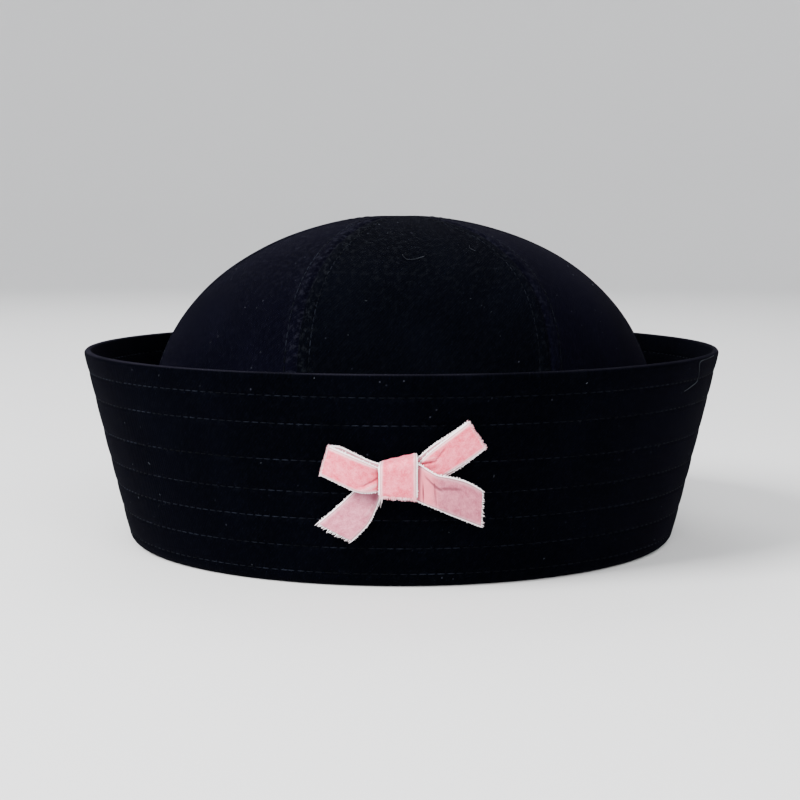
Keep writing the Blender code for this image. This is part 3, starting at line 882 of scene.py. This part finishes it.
def make_knot(finishes):
    """The knot's band of ribbon. Its two woven edges lie at its left and its right."""
    around, girth = even_turns(120)
    border = np.array([0, 0.01, 0.03, 0.06, 0.09, 0.11])
    along = np.concatenate([border, np.linspace(0.14, 0.86, 19), 1 - border[::-1]])[:, None]
    inset = (0.5 - np.abs(along - 0.5)) * KNOT_WIDTH
    wall = half_wall(inset)
    outer = knot_point(around, along, 0.5 * MM - wall)
    inner = knot_point(around, along, 0.5 * MM + wall)
    full = np.arange(len(around) + 1) / len(around) * girth + 20 * MM
    cloth = along * RIBBON_WIDTH, full
    piece = cloth_piece("knot_velvet", outer, inner, cloth, "fold", 0.0, finishes, wrap=True)
    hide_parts("bow_knot")


def fray(name, places, way, outs, spread, finish, lengths, thick=0.075, bend=90):
    """Loose ends of yarn or pile, each roughly along its way with a random turn and bend. Lengths and
    thickness are in millimetres."""
    count = len(places)
    aside = unit(np.cross(outs, way))
    ways = way + aside * rng.normal(0, spread, (count, 1)) + outs * rng.normal(0, spread / 2, (count, 1))
    ways = unit(ways)
    shape = bar(np.array([-0.3, 0.2, 0.6, 1.0]) * MM, np.array([1.0, 1.0, 0.9, 0.5]) * thick * MM, 5)
    bends = rng.normal(0, bend, count)
    repeat(name, shape, places, ways, upright(outs, ways), finish, lengths, bends)


def make_bow(velvet, backs, yarn, pile):
    """The knot, two loops with the velvet outside, and two tails with the woven back to the front.

    Gives each strip's middle surface and normals, and how much of its far end is hidden in the knot."""
    strips = []
    make_knot([velvet, backs[1]])
    loops = (("left", LEFT_LOOP, LEFT_LOOP_CREASES), ("right", RIGHT_LOOP, RIGHT_LOOP_CREASES))
    for place, table, creases in loops:
        name, node = f"loop_{place}_velvet", "bow_loop_" + place
        middle, way, outs = make_ribbon(name, node, table, creases, [velvet, backs[1]], 0.0)
        strips.append((middle, outs, HIDDEN_END))
        row = rng.integers(*FOLD_ROWS, FOLD_PILE)
        column = rng.integers(2, middle.shape[1] - 2, FOLD_PILE)
        lengths = rng.uniform(0.4, 0.85, FOLD_PILE)
        middle, way, outs = (values[row, column] for values in (middle, way, outs))
        fold = middle + outs * 0.3 * MM
        fray(f"loop_{place}_fold_pile", fold, outs, way, 0.5, pile, lengths, 0.05)
    tails = (("left", LEFT_TAIL, LEFT_TAIL_CREASES), ("right", RIGHT_TAIL, RIGHT_TAIL_CREASES))
    for (place, table, creases), back in zip(tails, backs):
        name, node = f"tail_{place}_ribbon", "bow_tail_" + place
        middle, _, outs = make_ribbon(name, node, table, creases, [back, velvet], 1.0)
        strips.append((middle, outs, 0.5 * MM))
        spots = np.linspace(-0.485, 0.485, TAIL_YARNS) + rng.normal(0, 0.006, TAIL_YARNS)
        end, way, outs = frames(lambda a, s: ribbon_point(table, a, s), spots, np.full(TAIL_YARNS, 0.997))
        end = end + outs * rng.uniform(-0.2, 0.2, (TAIL_YARNS, 1)) * MM
        lengths = rng.uniform(0.9, 1.7, TAIL_YARNS)
        fray(f"tail_{place}_fray", end, way, outs, 0.14, yarn, lengths, 0.15)
    along = rng.uniform(0.02, 0.98, KNOT_PILE)
    around = math.pi - rng.uniform(0.1, 0.85, KNOT_PILE)
    below = knot_point(around, along, 0.1 * MM)
    downward = unit(np.array([0.0, -0.25, -1.0]))
    lengths = rng.uniform(0.4, 1.15, KNOT_PILE)
    fray("knot_fray", below, downward, FORWARD, 0.28, pile, lengths, 0.07)
    return strips


def make_picots(strips, yarn):
    """The tiny loops of yarn along the ribbon's woven edges, and the knot's hanging yarns."""
    parts = []
    for middle, outs, hidden in strips:
        for edge, inside in ((0, 3), (-1, -4)):
            line = middle[:, edge]
            length = lengths_along(line)
            spots = np.arange(HIDDEN_END, length[-1] - hidden, PICOT_PITCH)
            spots = spots + rng.uniform(-0.2, 0.2, len(spots)) * MM
            row = np.searchsorted(length, spots).clip(0, len(length) - 1)
            parts.append((line[row], unit(line - middle[:, inside])[row], outs[row, edge]))
    around = np.linspace(0.2, math.pi - 0.2, 34)
    for along, aside in ((0.01, -1.0), (0.99, 1.0)):
        line, _, outs = frames(lambda a, s: knot_point(a, s, 0.5 * MM), around, 0 * around + along)
        parts.append((line, np.full_like(line, [aside, 0.0, 0.0]), outs))
    places, ways, outs = joined(parts)
    lengths = 0.13 + 0.27 * rng.uniform(0, 1, len(places)) ** 2
    fray("selvedge_picots", places, ways, outs, 0.35, yarn, lengths, 0.17)
    across, up, lengths = SLIVER.T
    lift = np.full(len(across), 1.6 * MM)
    start = on_brim(across * RIBBON_WIDTH, up * RIBBON_WIDTH, lift)
    end = on_brim((across - 0.11) * RIBBON_WIDTH, (up - 0.42) * RIBBON_WIDTH, lift)
    fray("knot_sliver", start, unit(end - start), FORWARD, 0.05, yarn, lengths, 0.11, 12)


# Lint


def thread_line(points, outs):
    """(places, ways, outs, lengths) of short bars that follow a line of points and overlap a little."""
    steps = np.diff(points, axis=0)
    lengths = np.linalg.norm(steps, axis=1)
    return (points[1:] + points[:-1]) / 2, steps / lengths[:, None], outs[1:], lengths / MM * 1.3


def make_loose_threads(finish):
    """Three loose ends of sewing thread: one over the rim, and two on the crown's front panel."""
    share = np.linspace(0, 1, 60)
    lines = []
    turn, depth = between(RIM_THREAD, share).T
    line, _, outs = brim_frames(depth * MM, np.radians(turn))
    lines.append(thread_line(line - outs * THREAD_PROUD, -outs))
    for table in (TOP_THREAD, SIDE_THREAD):
        across, up = between(table, share).T
        line, _, outs = panel_frames(PANELS[0], across, up)
        lines.append(thread_line(line + outs * THREAD_PROUD, outs))
    places, ways, outs, lengths = joined(lines)
    shape = bar(np.array([-0.5, 0.0, 0.5]) * MM, np.full(3, 0.09) * MM, 6)
    repeat("loose_threads", shape, places, ways, outs, finish, lengths)


def lint_lengths(flecks, count):
    """Lengths in millimetres: placed flecks, all alike, and then scattered fibres."""
    return np.concatenate([np.full(flecks, FLECK_LENGTH), rng.gamma(3.0, 0.2, count) + 0.2])


def make_lint(finish):
    """Short fibres and flecks here and there on the brim and the crown."""
    depth = np.concatenate([BRIM_FLECKS[:, 1], rng.uniform(2, 64, BRIM_LINT)]) * MM
    turns = np.concatenate([np.radians(BRIM_FLECKS[:, 0]), rng.uniform(-math.pi, math.pi, BRIM_LINT)])
    here, way, out = brim_frames(depth, turns, proud=LINT_PROUD)
    parts = [(here, way, -out, lint_lengths(len(BRIM_FLECKS), BRIM_LINT))]
    for seams in PANELS:
        own = np.reshape(CROWN_FLECKS.get(seams[0].panel, []), (-1, 2))
        across, up = np.concatenate([own, rng.uniform((0.1, 0.45), (0.9, 0.93), (PANEL_LINT, 2))]).T
        here, way, out = panel_frames(seams, across, up)
        parts.append((here + out * LINT_PROUD, way, out, lint_lengths(len(own), PANEL_LINT)))
    places, ways, outs, lengths = joined(parts)
    spin = rng.uniform(0, math.tau, (len(places), 1))
    ways = unit(ways * np.cos(spin) + np.cross(outs, ways) * np.sin(spin))
    shape = bar(np.linspace(-0.5, 0.5, 6) * MM, np.array([0.05, 0.09, 0.1, 0.1, 0.09, 0.05]) * MM, 4)
    bends = rng.normal(0, 260, len(places))
    repeat("lint", shape, places, ways, outs, finish, lengths, bends)


# Studio

LIGHT_TARGET = (0, 0, 0.06)
CAMERA_TILT = 5.94


def make_studio(finish):
    """A round pale floor that curves up by a quarter circle into a wall all round: no horizon shows."""
    curve = np.linspace(0, math.pi / 2, 24)
    radius = np.concatenate([[0.02, 0.5, 1.2], 2.0 + 1.4 * np.sin(curve), [3.4]])[:, None]
    height = np.concatenate([[0, 0, 0], 1.4 - 1.4 * np.cos(curve), [3.2]])[:, None]
    turns = np.linspace(0, math.tau, 97)[:-1]
    points = stacked(radius * np.cos(turns), radius * np.sin(turns), height)
    faces, centre, _ = grid_faces(*points.shape[:2], True)
    mesh = bpy.data.meshes.new("studio_floor")
    mesh.from_pydata(points.reshape(-1, 3).tolist(), [], [*faces[:, ::-1].tolist(), centre.tolist()])
    mesh.materials.append(finish)
    mesh.shade_smooth()
    floor = add_object("studio_floor", mesh)


def add_light(name, place, width, power):
    """A square soft white light that points at the cap."""
    light = bpy.data.lights.new(name, "AREA")
    light.size = width
    light.energy = power
    lamp = add_object(name, light)
    lamp.location = place
    across, forth, down = (t - p for t, p in zip(LIGHT_TARGET, place))
    lamp.rotation_euler = (math.atan2(math.hypot(across, forth), -down), 0, math.atan2(-across, forth))


def light_studio():
    """Soft light from the upper left, from the right and from above behind, and pale air."""
    add_light("key", (-1.15, -0.85, 1.15), 0.8, 80.0)
    add_light("front", (0.35, -1.5, 0.75), 1.2, 40.0)
    add_light("back", (-0.3, 1.1, 1.3), 1.0, 14.0)
    world = bpy.data.worlds.new("pale_air")
    world.use_nodes = True
    air = world.node_tree.nodes["Background"].inputs
    air["Color"].default_value = (0.93, 0.95, 1.0, 1.0)
    air["Strength"].default_value = 0.8
    bpy.context.scene.world = world


def place_camera():
    """The photo's angle: level with the crown's top and nearly six degrees down."""
    camera = bpy.data.cameras.new("camera")
    camera.sensor_width = 36.0
    camera.lens = 84.2
    eye = add_object("camera", camera)
    eye.location = (-0.0004, -0.668, 0.117)
    eye.rotation_euler = (math.radians(90 - CAMERA_TILT), 0, 0)
    bpy.context.scene.camera = eye


def main():
    twill = twill_finish("navy_twill", (0.3, 0.3, 1.1), (2.6, 2.6, 6.6), (7.8, 8.0, 12.5), (1700, 420))
    # A darker copy of the twill for the front and back panels: painted shade.
    across = twill_finish("navy_twill_painted_shade", (0.1, 0.2, 0.5), (1.6, 2.0, 4.0), (5.8, 6.6, 8.4), (1500, 500))
    # A darker copy again for the brim: painted shade on the brim's wall.
    brim_twill = twill_finish(
        "navy_twill_brim", (0.06, 0.15, 0.4), (0.9, 1.2, 2.9), (4.2, 4.8, 7.0), (1300, 500), 0.8
    )
    thread = thread_finish("navy_thread", (0.0004, 0.0006, 0.0012), (0.0058, 0.0070, 0.0115), 75, 0.6)
    # Each ribbon's deep, pale and root colour, the root's reach and how pale the band beside its edges is.
    # The velvet's deeper red root and the left tail's dark mauve root are painted shade near the knot, the
    # left tail's the shadow of the loop above it; the right tail's salmon root is the velvet face showing.
    ribbons = (
        ("velvet", (0.70, 0.060, 0.110), (0.95, 0.240, 0.320), (0.62, 0.05, 0.08), 7.5, 0.45),
        ("ribbon_back_left", (0.40, 0.095, 0.145), (0.68, 0.25, 0.33), (0.17, 0.07, 0.095), 16, 0.15),
        ("ribbon_back_right", (0.34, 0.08, 0.12), (0.60, 0.20, 0.26), (0.82, 0.18, 0.235), 13, 0.15),
    )
    velvet, *backs = (
        ribbon_finish("pink_" + name, deep, pale, root, reach * MM, halo)
        for name, deep, pale, root, reach, halo in ribbons
    )
    yarn = thread_finish("frayed_yarn", (0.88, 0.74, 0.77), (0.96, 0.92, 0.93), 400)
    # Pile fibres at the loops' folds and under the knot, paler than the velvet: a painted sheen of pile seen
    # edge-on.
    pile = thread_finish("velvet_pile_sheen", (0.92, 0.42, 0.48), (0.95, 0.76, 0.80), 400)
    lint = thread_finish("lint_fibre", (0.008, 0.009, 0.012), (0.045, 0.05, 0.06), 160)
    stations = np.array([-0.5, -0.36, 0.0, 0.36, 0.5]) * STITCH_LENGTH
    stitch = bar(stations, np.array([0.35, 0.85, 1.0, 0.85, 0.35]) * STITCH_WIDTH / 2, 6)
    stitch[0][:, 2] -= STITCH_SAG * (2 * stitch[0][:, 0] / STITCH_LENGTH) ** 2
    make_brim(brim_twill)
    make_brim_stitches(thread, stitch)
    make_crown(twill, across)
    make_crown_stitches(thread, stitch)
    strips = make_bow(velvet, backs, yarn, pile)
    make_loose_threads(lint)
    make_lint(lint)
    make_picots(strips, yarn)
    make_studio(plain_finish("studio_floor", (0.74, 0.74, 0.74), 0.9))
    light_studio()
    place_camera()


main()
